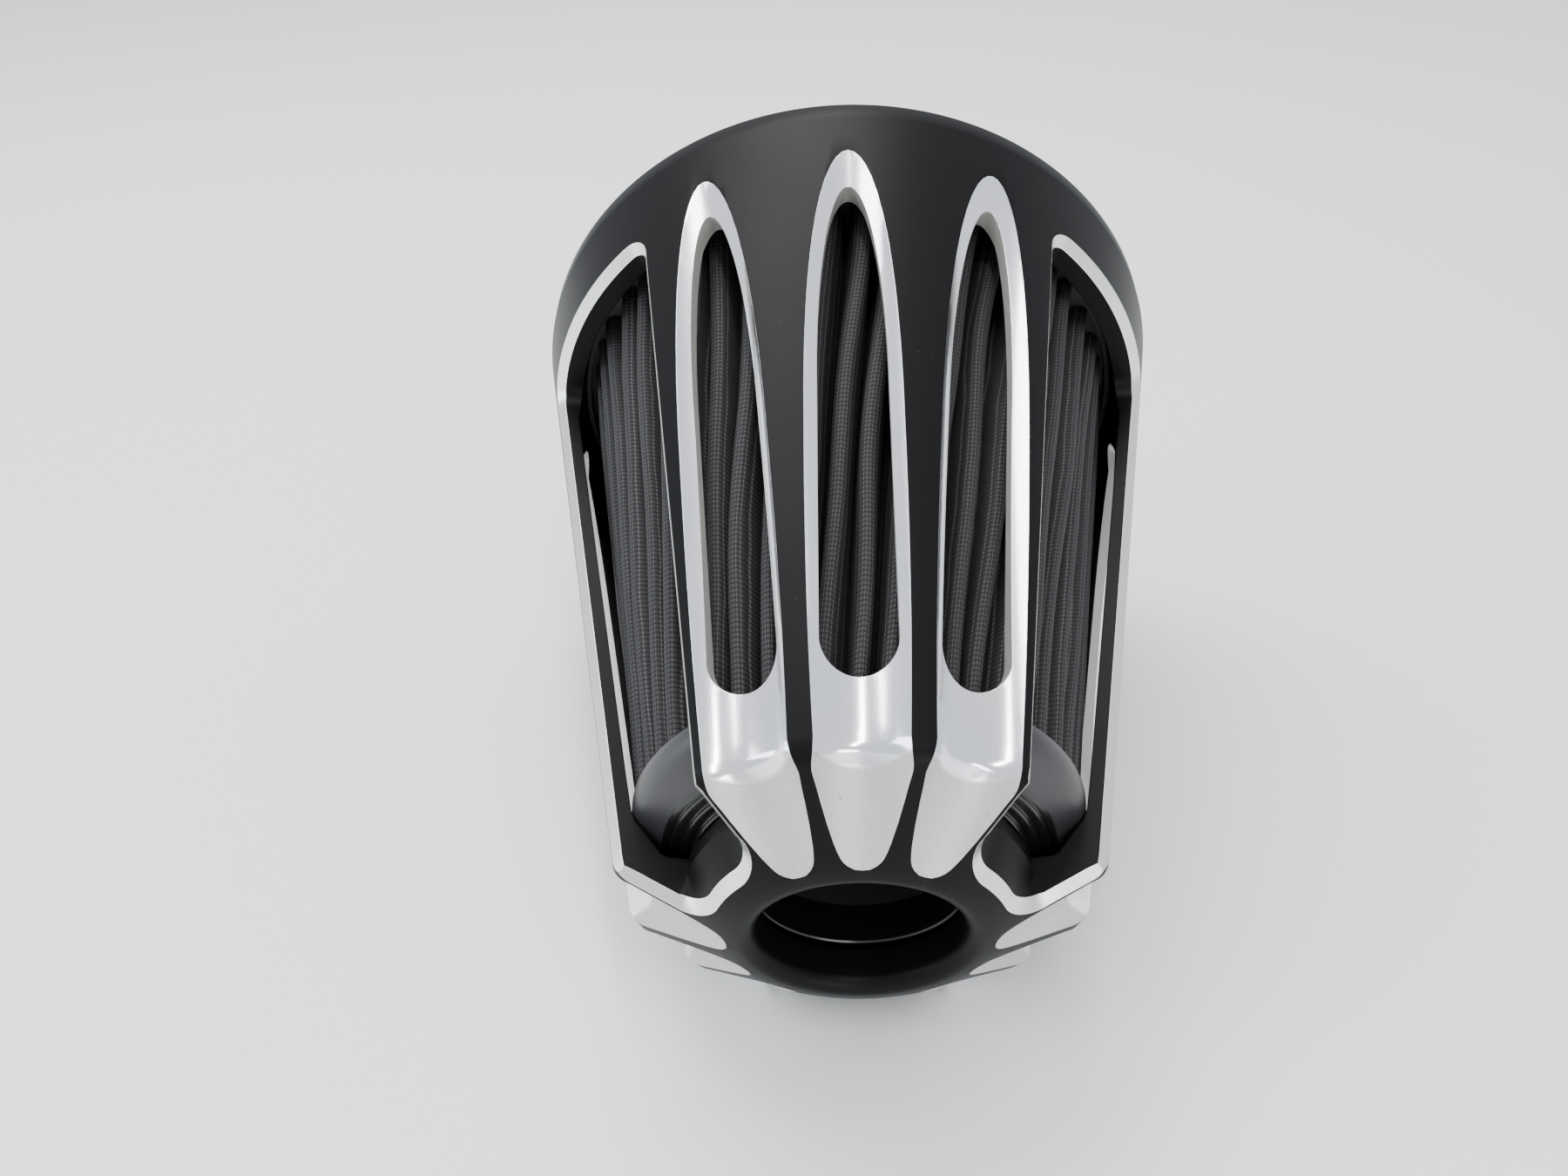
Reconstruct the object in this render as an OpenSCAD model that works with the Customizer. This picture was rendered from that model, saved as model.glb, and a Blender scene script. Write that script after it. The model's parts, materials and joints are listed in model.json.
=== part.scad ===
// Cone-shaped motorcycle air filter: fluted billet cover, pleated cone element, backplate.
// Pieces are drawn with their axis along +Z, nose up, rear face of the cover at z = 0.
// lay() then puts the whole thing on its side: nose towards -Y, resting on the floor z = 0.

/* [Cover] */
// Outer diameter of the rim
rim_d = 152; // [120:1:190]
// Length of the straight band behind the cone
lip_len = 5.2; // [3:0.1:9]
// Distance from the rear face to the shoulder
shoulder_z = 151.8; // [125:0.5:180]
// Radius at the shoulder
shoulder_r = 46.2; // [40:0.2:54]
// Rounding of the shoulder
shoulder_round = 6; // [3:0.5:10]
// Overall length of the cover
nose_z = 162.6; // [130:0.2:195]
// Radius where the front cone meets the nose ring
ring_r = 26.2; // [24:0.2:30]
// Radius of the front inlet
inlet_r = 19.4; // [15:0.1:22]
// Wall thickness between the outer cone and the hollow
wall = 4.6; // [4.4:0.1:7]
// Radius of the straight bore behind the hollow
bore_r = 66.4; // [63:0.1:66.6]
// Rear face to the end of the hollow
hollow_z = 148.4; // [123:0.2:165]
// Length over which the hollow narrows at its end
hollow_taper = 8.4; // [6:0.2:10]

/* [Flutes] */
// Radius of the round cutter that makes the flutes
flute_r = 12.7; // [11:0.1:15]
// Angle between neighbouring flutes
flute_pitch = 25.4; // [22:0.1:28]
// Depth where the flute leaves its run-out
flute_depth = 5.0; // [3:0.1:6]
// Depth at the shoulder
flute_end_depth = 3.5; // [2:0.1:5]
// Rear face to the flute tip
flute_tip = 16.6; // [12:0.2:24]
// Length of the curved run-out
runout = 40; // [28:1:50]
// Width of the slot in each flute
slot_w = 14; // [9:0.2:15]
// Rear face to the drawn-out end of the slot
slot_z0 = 25; // [23:0.5:50]
// Length over which the slot narrows to that end
slot_reach = 50; // [20:1:70]
// Rear face to the nose end of the slot
slot_z1 = 137; // [105:0.5:138]

/* [Windows] */
// Angle each window spans
window_angle = 43.6; // [34:0.2:46]
// Rear face to the window
window_z = 22.2; // [19:0.2:34]
// Radius of the hub between the windows
hub_r = 32.6; // [30:0.2:36]
// Width of the bright bevel along the window
bevel = 1.5; // [0.6:0.1:2.2]

/* [Element] */
// Pleats round the outer cone
pleats = 48; // [30:1:60]
// Outer pleat radius at the base
pleat_r0 = 64.8; // [55:0.2:65]
// Outer pleat radius at the nose end
pleat_r1 = 43.2; // [36:0.2:43.4]
// Rear face to the foot of the pleats
pleat_z0 = 12.4; // [11:0.2:14]
// Rear face to the nose end of the pleats
pleat_z1 = 136.6; // [112:0.2:137]
// Depth of a pleat at the base
pleat_depth = 13.5; // [8:0.5:16]
// Thickness of the filter medium
media_t = 1.0; // [0.8:0.1:1.4]
// Twist of the pleats from base to nose
pleat_twist = 8; // [0:1:12]
// Pleats round the inner cone
inner_pleats_n = 30; // [20:1:36]

/* [Backplate] */
// Thickness of the plate
plate_t = 4.4; // [4:0.1:5]
// Radius of the plate
plate_r = 73.9; // [71:0.1:74]
// Radius of the throat
throat_r = 25.4; // [20:0.1:30]
// Radius of the throttle body bolt circle
bolt_circle_r = 35; // [32:0.2:38]
// Radius of the throttle body bolt holes
bolt_hole_r = 3.3; // [2.5:0.1:4]
// Radius of the breather bores
breather_r = 5; // [3.5:0.1:6]
// Distance of a breather bore from the axis
breather_at = 54; // [50:0.5:58]
// Thickness of the rim gasket
gasket_t = 0.8; // [0.6:0.1:1.2]

/* [Cover screws] */
// Radius of the screw circle
screw_at = 69.6; // [69.3:0.1:70]
// Radius of the screw thread
screw_r = 1.95; // [1.5:0.05:2]
// Length of the screw under its head
screw_len = 12.4; // [10:0.2:13]
// Radius of the screw head
head_r = 3.5; // [3:0.1:3.6]

/* [Hidden] */
$fn = 96;
e = 0.01;
rim_r = rim_d / 2;
cone_l = shoulder_z - lip_len;
slope = atan((rim_r - shoulder_r) / cone_l);
front_h = nose_z - 1.0 - shoulder_z;
front_a = atan(front_h / (shoulder_r - ring_r));
turn = 90 - slope - front_a;
tan_len = shoulder_round * tan(turn / 2);
ledge_z = plate_t + gasket_t;
window_at = 60;
c_sup = cos(window_angle / 2);
// the filter lies on the rear edge of a window and on the shoulder beside it
foot_z = window_z - bevel / (1 - tan(slope));
foot_r = outer_r(foot_z);
// where the bore meets the hollow, and where the hollow starts to narrow
bore_z = lip_len + (rim_r - wall - bore_r) / tan(slope);
taper_z = hollow_z - hollow_taper;
taper_r = hollow_r(taper_z) - 0.8 * hollow_taper;
fc_r = shoulder_r + tan_len * sin(slope) - shoulder_round * cos(slope);
fc_z = shoulder_z - tan_len * cos(slope) - shoulder_round * sin(slope);
function reach(t) = shoulder_round * sqrt(pow(c_sup * cos(t), 2) + pow(sin(t), 2)) / cos(t);
function tilt_of(t) = atan((foot_r - fc_r * c_sup - reach(t)) / (fc_z - foot_z));
t1 = tilt_of(12);
t2 = tilt_of(t1);
tilt = tilt_of(tilt_of(t2));
lift = foot_r * cos(tilt) + foot_z * sin(tilt);
ahead = ((rim_r - ring_r + 1) * sin(tilt) - (nose_z - 0.2) * cos(tilt)) / 2;
insert_r = 2.7;
washer_r = 3.7;
// the front end cap follows the narrowing of the hollow
cap_r = taper_r + 2;
ridge_r = taper_r - 1;
black = [0.09, 0.09, 0.10];
bright = [0.80, 0.81, 0.84];
rubber = [0.05, 0.05, 0.05];

function outer_r(z) = rim_r - (z - lip_len) * tan(slope);
function hollow_r(z) = outer_r(z) - wall;
function pleat_r(z) = pleat_r0 + (pleat_r1 - pleat_r0) * (z - pleat_z0) / (pleat_z1 - pleat_z0);

module lay() {
    translate([0, -ahead, lift]) rotate([90 + tilt, 0, 0]) children();
}

// turns a piece drawn at +Y round the axis, towards +X
module at(a) { rotate([0, 0, -a]) children(); }

// frame on the outer cone at height z: Y towards the rim, Z outward
module on_cone(z) {
    translate([0, outer_r(z), z]) rotate([-90 + slope, 0, 0]) children();
}

module tube(r1, r2, z0, z1) {
    translate([0, 0, z0]) difference() {
        cylinder(r = r2, h = z1 - z0);
        translate([0, 0, -1]) cylinder(r = r1, h = z1 - z0 + 2);
    }
}

// half section of the solid cover, rounded at the shoulder and at the front lip
module cover_section() {
    polygon([[0, 0], [rim_r - 0.6, 0], [rim_r, 0.6], [rim_r, lip_len],
        for (i = [0:5]) let (a = slope + i * turn / 5)
            [fc_r + shoulder_round * cos(a), fc_z + shoulder_round * sin(a)],
        [ring_r, nose_z - 1.0], [ring_r - 1.6, nose_z - 0.2],
        [inlet_r + 3, nose_z], [inlet_r, nose_z - 3], [0, nose_z - 3]]);
    translate([inlet_r + 3, nose_z - 3]) circle(r = 3);
}

// the hollow for the element, the seat for the plate and the inlet
module hollow_section() {
    polygon([[0, -1], [plate_r + 0.1, -1], [plate_r + 0.1, ledge_z],
        [bore_r, ledge_z], [bore_r, bore_z], [hollow_r(taper_z), taper_z],
        [taper_r, hollow_z], [23.1, hollow_z], [23.1, hollow_z + 5],
        [inlet_r, hollow_z + 6], [inlet_r, nose_z - 3 + e], [0, nose_z - 3 + e]]);
}

// three straight runs of one round cutter: in from the tip, easing off, then along the cone
module flute_entry() {
    d1 = flute_depth * 0.78;
    l = 0.6 * runout;
    on_cone(flute_tip) rotate([atan(d1 / l), 0, 0]) translate([0, 0, flute_r])
        rotate([90, 0, 0]) translate([0, 0, -14]) cylinder(r = flute_r, h = l + 15);
}

module flute_ease() {
    d1 = flute_depth * 0.78;
    l = 0.5 * runout;
    on_cone(flute_tip + 0.6 * runout * cos(slope)) translate([0, 0, -d1])
        rotate([atan((flute_depth - d1) / l), 0, 0]) translate([0, 0, flute_r])
        rotate([90, 0, 0]) translate([0, 0, -4]) cylinder(r = flute_r, h = l + 5);
}

module flute_run() {
    z_in = flute_tip + 1.1 * runout * cos(slope);
    straight = (shoulder_z - z_in) / cos(slope);
    on_cone(z_in) translate([0, 0, -flute_depth])
        rotate([-atan((flute_depth - flute_end_depth) / straight), 0, 0])
        translate([0, 0, flute_r]) rotate([90, 0, 0]) translate([0, 0, -4])
        cylinder(r = flute_r, h = straight + 9);
}

// the same cutter, run across the front cone until it leaves the metal
module petal_cut() {
    front_l = (shoulder_r - ring_r) / cos(front_a);
    rise = atan(flute_end_depth / front_l);
    translate([0, ring_r, nose_z - 1.0]) rotate([-front_a, 0, 0])
        translate([0, 0, flute_r]) rotate([-rise, 0, 0]) rotate([-90, 0, 0])
        translate([0, 0, -6]) cylinder(r = flute_r, h = front_l + 12);
}

module slot_cut() {
    r = slot_w / 2;
    foot = (slot_z1 - slot_z0) / cos(slope) - slot_reach;
    arch = [for (a = [6 : 12 : 90]) [r * pow(cos(a), 0.83), foot + slot_reach * pow(sin(a), 0.83)]];
    on_cone(slot_z1) translate([0, 0, -22]) {
        translate([0, r, 0]) cylinder(r = r, h = 40);
        linear_extrude(40) polygon([[-r, r], [r, r], [r, foot], for (p = arch) p,
            for (i = [len(arch) - 1 : -1 : 0]) [-arch[i][0], arch[i][1]], [-r, foot]]);
    }
}

module window_cut() {
    r = outer_r(window_z);
    z_end = nose_z - 1.0 + (ring_r - 29.6) * tan(front_a);
    rotate([0, 0, 90 - window_angle / 2]) rotate_extrude(angle = window_angle)
        polygon([[hub_r, window_z], [r - bevel, window_z], [r + 3, window_z - bevel - 3],
            [rim_r + 9, window_z - bevel - 3], [rim_r + 9, nose_z + 9], [29.6, nose_z + 9],
            [29.6, z_end], [hub_r, z_end - 4.6]]);
}

// flat bevel along one straight edge of a window
module flank_bevel(s) {
    rotate([0, 0, s * window_angle / 2]) on_cone(window_z) translate([0, 0, -bevel])
        rotate([0, s * 45, 0]) translate([-4, -170, 0]) cube([8, 170, 8]);
}

module blank() difference() {
    rotate_extrude() cover_section();
    rotate_extrude() hollow_section();
}

// takes its second child out of its first at flute m of every group
module cut_flute(m) difference() {
    children(0);
    for (g = [0, 120, 240]) at(g + m * flute_pitch) children(1);
}

module carve() cut_flute(-1) {
    cut_flute(0) {
        cut_flute(1) { children(0); children(1); }
        children(1);
    }
    children(1);
}

module each_window() { for (g = [0, 120, 240]) at(g + window_at) children(); }

module windowed() difference() {
    difference() {
        blank();
        each_window() window_cut();
        each_window() translate([0, screw_at, ledge_z - 1]) cylinder(r = insert_r, h = 11);
    }
    each_window() flank_bevel(1);
    each_window() flank_bevel(-1);
}

module fluted() carve() {
    carve() {
        carve() { windowed(); flute_run(); }
        flute_ease();
    }
    flute_entry();
}

module cover_shell() color(black) lay() carve() {
    carve() { fluted(); petal_cut(); }
    slot_cut();
}

module thread_insert(i) color([0.72, 0.6, 0.3]) lay() at(120 * i - 60)
    translate([0, screw_at, 0]) difference() {
        translate([0, 0, ledge_z + 0.1]) cylinder(r = insert_r, h = 8.9);
        cylinder(r = screw_r + 0.05, h = 20);
    }
module thread_insert_1() thread_insert(1);
module thread_insert_2() thread_insert(2);
module thread_insert_3() thread_insert(3);

// closed zigzag ring: n folds between r_in and r_out, medium t thick
module zigzag(n, r_out, depth, t) {
    k = 180 / n;
    outer = [for (i = [0 : 2 * n - 1]) let (r = r_out - (i % 2) * depth)
        [r * sin(i * k), r * cos(i * k)]];
    inner = [for (i = [0 : 2 * n - 1])
        let (r = r_out - (i % 2) * depth - t * (i % 2 == 0 ? 3.2 : 1.4))
        [r * sin(i * k), r * cos(i * k)]];
    difference() {
        polygon(outer);
        polygon(inner);
    }
}

module outer_pleats() color([0.16, 0.16, 0.17]) lay() translate([0, 0, pleat_z0])
    linear_extrude(height = pleat_z1 - pleat_z0, twist = pleat_twist,
        scale = pleat_r1 / pleat_r0, slices = 6)
        zigzag(pleats, pleat_r0, pleat_depth, media_t);

// rings and straight wires on a cone, just outside or inside the pleats
module wire_cage(ra, za, rb, zb, rings, wires, w) {
    lean = atan((ra - rb) / (zb - za));
    long = (zb - za) / cos(lean);
    for (i = [0 : rings - 1]) let (u = i / (rings - 1))
        translate([0, 0, za + w + u * (zb - za - 2 * w)])
            rotate_extrude() translate([ra + (rb - ra) * u, 0]) circle(r = w);
    for (i = [0 : wires - 1]) rotate([0, 0, i * 360 / wires])
        translate([0, ra + 0.1, za + 0.9 * w]) rotate([lean, 0, 0])
            cylinder(r = w * 0.8, h = long - 1.9 * w);
}

module outer_mesh() color([0.3, 0.3, 0.31]) lay()
    wire_cage(pleat_r(pleat_z0 + 3.8) + 0.55, pleat_z0 + 3.8,
        pleat_r(pleat_z1 - 2.2) + 0.55, pleat_z1 - 2.2, 7, 12, 0.42);

module front_end_cap() color([0.14, 0.14, 0.15]) lay() rotate_extrude() difference() {
    union() {
        polygon([[inlet_r + 0.2, pleat_z1], [pleat_r1 + 0.9, pleat_z1],
            [pleat_r1 + 0.9, pleat_z1 + 0.6], [cap_r - 2, hollow_z - 3.4], [ridge_r, hollow_z - 3.4],
            [ridge_r, hollow_z - 2.6], [ridge_r - 2, hollow_z - 2.6], [ridge_r - 2, hollow_z - 1.7],
            [ridge_r - 4, hollow_z - 1.7], [ridge_r - 4, hollow_z - 0.8],
            [22.7, hollow_z - 0.8], [22.7, hollow_z + 4.4], [inlet_r + 0.2, hollow_z + 4.4]]);
        translate([pleat_r1 - 4.7, pleat_z1 + 0.6]) circle(r = 5.6);
    }
    translate([pleat_r1 - 13, pleat_z1 - 9]) square([22, 9]);
    translate([23.4, hollow_z + 2.3]) circle(r = 1.5);
}

module base_end_cap() color([0.12, 0.12, 0.13]) lay() difference() {
    rotate_extrude() difference() {
        union() {
            polygon([[44, 6.4], [pleat_r0 + 0.4, 6.4], [pleat_r0 + 1.2, 7.4],
                [pleat_r0 + 1.2, pleat_z0 + 3], [pleat_r0 + 0.1, pleat_z0 + 3],
                [pleat_r0 + 0.1, pleat_z0], [44, pleat_z0]]);
            translate([45.5, 9.4]) circle(r = 3);
        }
        translate([40, 0]) square([30, 6.4]);
        translate([40, pleat_z0]) square([pleat_r0 - 40, 6]);
    }
}

module inner_pleats() color([0.2, 0.2, 0.21]) lay() translate([0, 0, pleat_z1])
    mirror([0, 0, 1]) linear_extrude(height = 84, scale = 0.5, slices = 3)
        zigzag(inner_pleats_n, 28.6, 6.2, media_t);

module inner_cage() color([0.5, 0.5, 0.52]) lay() translate([0, 0, pleat_z1]) mirror([0, 0, 1])
    wire_cage(20.1, 0, 9.9, 83.9, 5, 8, 0.5);

module inner_tip_cap() color([0.12, 0.12, 0.13]) lay() translate([0, 0, pleat_z1 - 84])
    rotate_extrude() {
        translate([0, -3]) square([15.2, 3]);
        intersection() {
            translate([0, -3]) circle(r = 12);
            translate([0, -14]) square([14, 11.5]);
        }
    }

module nose_seal() color(rubber) lay() translate([0, 0, hollow_z + 2.3])
    rotate_extrude() intersection() {
        translate([23.4, 0]) circle(r = 1.5);
        translate([18, -2]) square([5.05, 4]);
    }

module base_seal() color(rubber) lay() tube(46, 60.5, plate_t, 6.4);

module backplate() color([0.11, 0.11, 0.12]) lay() difference() {
    union() {
        rotate_extrude() polygon([[0, 0.5], [0, plate_t], [plate_r, plate_t], [plate_r, 0.5],
            [plate_r - 0.5, 0], [0.5, 0]]);
        cylinder(r = 41, h = plate_t + 1.6);
    }
    translate([0, 0, -1]) cylinder(r = throat_r, h = 20);
    translate([0, 0, plate_t]) cylinder(r = throat_r + 2.6, h = 9);
    for (i = [0 : 2]) at(120 * i + 60) {
        translate([0, bolt_circle_r, -1]) cylinder(r = bolt_hole_r, h = 20);
        translate([0, screw_at, -1]) cylinder(r = screw_r + 0.3, h = 20);
        translate([0, screw_at, -1]) cylinder(r = washer_r + 0.2, h = 3.4);
    }
    for (s = [-1, 1]) translate([s * breather_at * sin(75), breather_at * cos(75), -1]) {
        cylinder(r = breather_r, h = 4);
        cylinder(r = breather_r + 2.4, h = 2.2);
    }
    translate([0, 0, -1]) tube(throat_r + 1.5, throat_r + 4.1, 0, 2.4);
    // channels that carry the breather air to the throat
    for (s = [-1, 1]) intersection() {
        rotate([0, 0, s < 0 ? 165 : 15]) translate([throat_r - 3, -3, 1.6])
            cube([breather_at - throat_r + 3, 6, 1.4]);
        cylinder(r = breather_at, h = 10);
    }
}

module velocity_ring() color(bright) lay() rotate_extrude() difference() {
    union() {
        translate([throat_r, plate_t]) square([2.6, 4.7]);
        intersection() {
            translate([throat_r + 9.4, 9]) circle(r = 9.4);
            translate([throat_r - 2, 9]) square([11.4, 12]);
        }
    }
    translate([throat_r + 9.4, 9]) circle(r = 6.8);
}

module rim_gasket() color(rubber) lay() difference() {
    tube(bore_r + 0.2, plate_r - 0.2, plate_t, ledge_z);
    for (i = [0 : 2]) at(120 * i + 60) translate([0, screw_at, 0])
        cylinder(r = screw_r + 0.3, h = 20);
}

module o_ring(r, w, z) { translate([0, 0, z]) rotate_extrude() translate([r, 0]) circle(r = w); }

module throttle_seal() color(rubber) lay() o_ring(throat_r + 2.8, 1.3, 0.1);

module breather_seal(s) color(rubber) lay()
    translate([s * breather_at * sin(75), breather_at * cos(75), 0])
        o_ring(breather_r + 1.2, 1.2, 0);
module breather_seal_left() breather_seal(-1);
module breather_seal_right() breather_seal(1);

module cover_screw(i) color([0.75, 0.76, 0.78]) lay() at(120 * i - 60)
    translate([0, screw_at, 0]) difference() {
        union() {
            translate([0, 0, -0.1]) cylinder(r = head_r, h = 1.7);
            translate([0, 0, 1]) cylinder(r = screw_r, h = screw_len + 0.6);
        }
        translate([0, 0, -1.1]) cylinder(r = 1.2, h = 2.1, $fn = 6);
    }
module cover_screw_1() cover_screw(1);
module cover_screw_2() cover_screw(2);
module cover_screw_3() cover_screw(3);

module cover_washer(i) color([0.6, 0.61, 0.63]) lay() at(120 * i - 60)
    translate([0, screw_at, 0]) tube(screw_r + 0.15, washer_r, 1.6, 2.4);
module cover_washer_1() cover_washer(1);
module cover_washer_2() cover_washer(2);
module cover_washer_3() cover_washer(3);

cover_shell();
thread_insert_1();
thread_insert_2();
thread_insert_3();
outer_pleats();
outer_mesh();
front_end_cap();
base_end_cap();
inner_pleats();
inner_cage();
inner_tip_cap();
nose_seal();
base_seal();
backplate();
velocity_ring();
rim_gasket();
throttle_seal();
breather_seal_left();
breather_seal_right();
cover_screw_1();
cover_screw_2();
cover_screw_3();
cover_washer_1();
cover_washer_2();
cover_washer_3();
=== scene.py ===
# Air filter for a motorcycle: looks of every piece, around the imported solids.
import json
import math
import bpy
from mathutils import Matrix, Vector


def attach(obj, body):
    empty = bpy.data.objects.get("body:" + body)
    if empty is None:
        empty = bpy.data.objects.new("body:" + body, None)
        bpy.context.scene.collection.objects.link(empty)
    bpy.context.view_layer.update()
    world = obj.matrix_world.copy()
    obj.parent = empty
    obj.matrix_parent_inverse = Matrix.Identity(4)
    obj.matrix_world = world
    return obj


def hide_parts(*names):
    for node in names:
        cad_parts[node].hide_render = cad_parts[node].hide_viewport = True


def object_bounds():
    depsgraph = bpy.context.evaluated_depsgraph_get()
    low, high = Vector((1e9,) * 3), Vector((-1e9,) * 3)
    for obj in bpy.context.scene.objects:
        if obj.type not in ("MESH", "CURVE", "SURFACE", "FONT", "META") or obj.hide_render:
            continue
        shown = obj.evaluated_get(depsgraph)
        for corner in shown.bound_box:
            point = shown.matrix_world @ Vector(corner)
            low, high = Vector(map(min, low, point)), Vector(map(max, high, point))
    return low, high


bl_info = {
    "name": "Cone Air Filter",
    "version": (1, 0, 0),
    "blender": (4, 5, 0),
    "location": "View3D > Sidebar > Air Filter",
    "description": "Builds a fluted billet cover over a pleated cone element",
    "category": "Add Mesh",
}

import bpy
from mathutils import Matrix, Vector

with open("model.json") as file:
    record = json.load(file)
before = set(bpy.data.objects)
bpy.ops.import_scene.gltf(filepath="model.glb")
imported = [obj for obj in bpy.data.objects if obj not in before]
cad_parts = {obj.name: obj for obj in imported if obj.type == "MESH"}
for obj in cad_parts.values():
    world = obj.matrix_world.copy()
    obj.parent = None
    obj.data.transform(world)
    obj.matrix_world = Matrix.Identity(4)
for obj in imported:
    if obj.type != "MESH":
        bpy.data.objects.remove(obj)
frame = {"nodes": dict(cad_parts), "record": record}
CAD_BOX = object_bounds()
NODES = frame["nodes"]
MOUNTS = {m["name"]: m for m in frame["record"]["mounts"]}
MM = 0.001

# The filter lies on its side. Pieces are modelled nose up, in millimetres, and AXIAL lays them down.
NOSE = Vector(MOUNTS["inlet"]["axis"])
AXIAL = Matrix((
    (1, 0, 0, 0),
    (0, NOSE.z, NOSE.y, MOUNTS["throat"]["pos_m"][1] / MM),
    (0, -NOSE.y, NOSE.z, MOUNTS["throat"]["pos_m"][2] / MM),
    (0, 0, 0, 1),
))
LAY = Matrix.Scale(MM, 4) @ AXIAL

# Three groups of flutes round the cover; a window and a cover screw lie halfway between two groups.
GROUPS = (0, 120, 240)
BETWEEN = 60
PLATE_SEAT_R, PLATE_SEAT_Z = 74.0, 5.2
NECK_BORE_R, NECK_BORE_LENGTH = 23.1, 5
SCREW_CIRCLE = 69.6
INSERT_R, INSERT_Z0, INSERT_Z1 = 2.7, 4.0, 15.2
PLEAT_Z0 = 12.4
CLOTH_PER_FOLD = 6.6


def size(name, description, default):
    return bpy.props.FloatProperty(
        name=name, description=description, default=default, min=0, precision=2)


def tint(name, description, default):
    return bpy.props.FloatVectorProperty(
        name=name, description=description, default=default, subtype="COLOR", size=3, min=0, max=1)


class FilterSizes(bpy.types.PropertyGroup):
    rim_radius: size("Rim radius", "Outer radius of the rim, mm", 76.0)
    lip: size("Lip", "Length of the straight band behind the cone, mm", 5.2)
    shoulder_radius: size("Shoulder radius", "Radius where the cone turns to the front, mm", 46.2)
    shoulder_z: size("Shoulder", "Distance of the shoulder from the rear face, mm", 151.8)
    rounding: size("Shoulder rounding", "Radius of the shoulder, mm", 6.0)
    nose_z: size("Length", "Length of the cover, mm", 162.6)
    ring_radius: size("Nose ring radius", "Where the front cone meets the nose ring, mm", 26.2)
    inlet_radius: size("Inlet radius", "Radius of the round front inlet, mm", 19.4)
    wall: size("Wall", "Thickness of the cover before the flutes are cut, mm", 4.6)
    bore: size("Bore radius", "Radius of the straight bore behind the hollow, mm", 66.4)
    hollow_z: size("Hollow", "Where the hollow ends, from the rear face, mm", 148.4)
    taper: size("Hollow taper", "Length over which the hollow narrows at its end, mm", 8.4)
    cutter: size("Flute cutter", "Radius of the round flute cutter, mm", 12.7)
    flute_pitch: size("Flute pitch", "Angle between neighbouring flutes, degrees", 25.4)
    flute_depth: size("Flute depth", "Greatest depth of a flute, mm", 5.1)
    flute_tip: size("Flute tip", "Where a flute begins, from the rear face, mm", 16.6)
    slot_width: size("Slot width", "Width of the slot in each flute, mm", 14.0)
    slot_start: size("Slot start", "Pointed end of a slot, from the rear face, mm", 25.0)
    slot_end: size("Slot end", "Round end of a slot, from the rear face, mm", 137.0)
    window_angle: size("Window angle", "Angle each window spans, degrees", 43.6)
    window_z: size("Window start", "Start of a window, from the rear face, mm", 22.2)
    hub_radius: size("Hub radius", "Radius of the hub between the windows, mm", 32.6)
    pleats: bpy.props.IntProperty(name="Pleats", description="Folds round the element", default=48, min=12)
    pleat_base: size("Pleat base radius", "Outer radius of the pleats at the base, mm", 64.8)
    pleat_end: size("Pleat end radius", "Outer radius of the pleats at the nose end, mm", 43.2)
    pleat_top: size("Pleat length", "Where the pleats end, from the rear face, mm", 136.6)
    pleat_twist: size("Pleat twist", "Turn of the pleats from base to nose, degrees", 12.0)


class FilterColours(bpy.types.PropertyGroup):
    anodised: tint("Anodised", "Black anodised surface", (0.0032, 0.0032, 0.0038))
    machined: tint("Machined", "Bright contrast-cut aluminium", (0.90, 0.91, 0.93))
    petal: tint("Petal", "Matte cuts on the front cone", (0.50, 0.49, 0.465))
    slot: tint("Slot wall", "Walls of the slots", (0.42, 0.40, 0.37))
    cloth: tint("Cloth", "Pleated filter cloth", (0.020, 0.020, 0.0215))
    thread: tint("Thread", "Raised threads of the woven mesh", (0.11, 0.11, 0.115))
    moulded: tint("Moulded", "End caps of the element", (0.016, 0.016, 0.0175))
    floor: tint("Floor", "Pale floor", (0.86, 0.87, 0.87))


def put(tree, socket, value):
    if isinstance(value, Wire):
        tree.links.new(value.socket, socket)
    elif socket.type == "RGBA":
        socket.default_value = (*value, 1)
    else:
        socket.default_value = value


def add_node(tree, kind, settings, sockets, out=0):
    """Adds one shader node: its settings first, then the values or links of its sockets."""
    node = tree.nodes.new(kind)
    for key, value in settings.items():
        setattr(node, key, value)
    for key, value in sockets.items():
        put(tree, node.inputs[key], value)
    return Wire(tree, node.outputs[out])


def maths(kind, swapped=False):
    """A method of Wire that adds one Math node for the socket and what it is combined with."""
    def method(self, *others):
        values = (*others, self) if swapped else (self, *others)
        return add_node(self.tree, "ShaderNodeMath", {"operation": kind}, dict(enumerate(values)))
    return method


class Wire:
    """A shader socket that takes part in Python sums; numbers join in as they are."""

    __add__ = maths("ADD")
    __radd__ = maths("ADD", swapped=True)
    __rsub__ = maths("SUBTRACT", swapped=True)
    __mul__ = maths("MULTIPLY")
    __rmul__ = maths("MULTIPLY", swapped=True)
    __abs__ = maths("ABSOLUTE")
    sin = maths("SINE")
    power = maths("POWER")

    def __init__(self, tree, socket):
        self.tree, self.socket = tree, socket

    def step(self, low, high):
        """A smooth rise from 0 at low to 1 at high."""
        return add_node(self.tree, "ShaderNodeMapRange", {"interpolation_type": "SMOOTHSTEP"}, {
            "Value": self, "From Min": low, "From Max": high})


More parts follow.
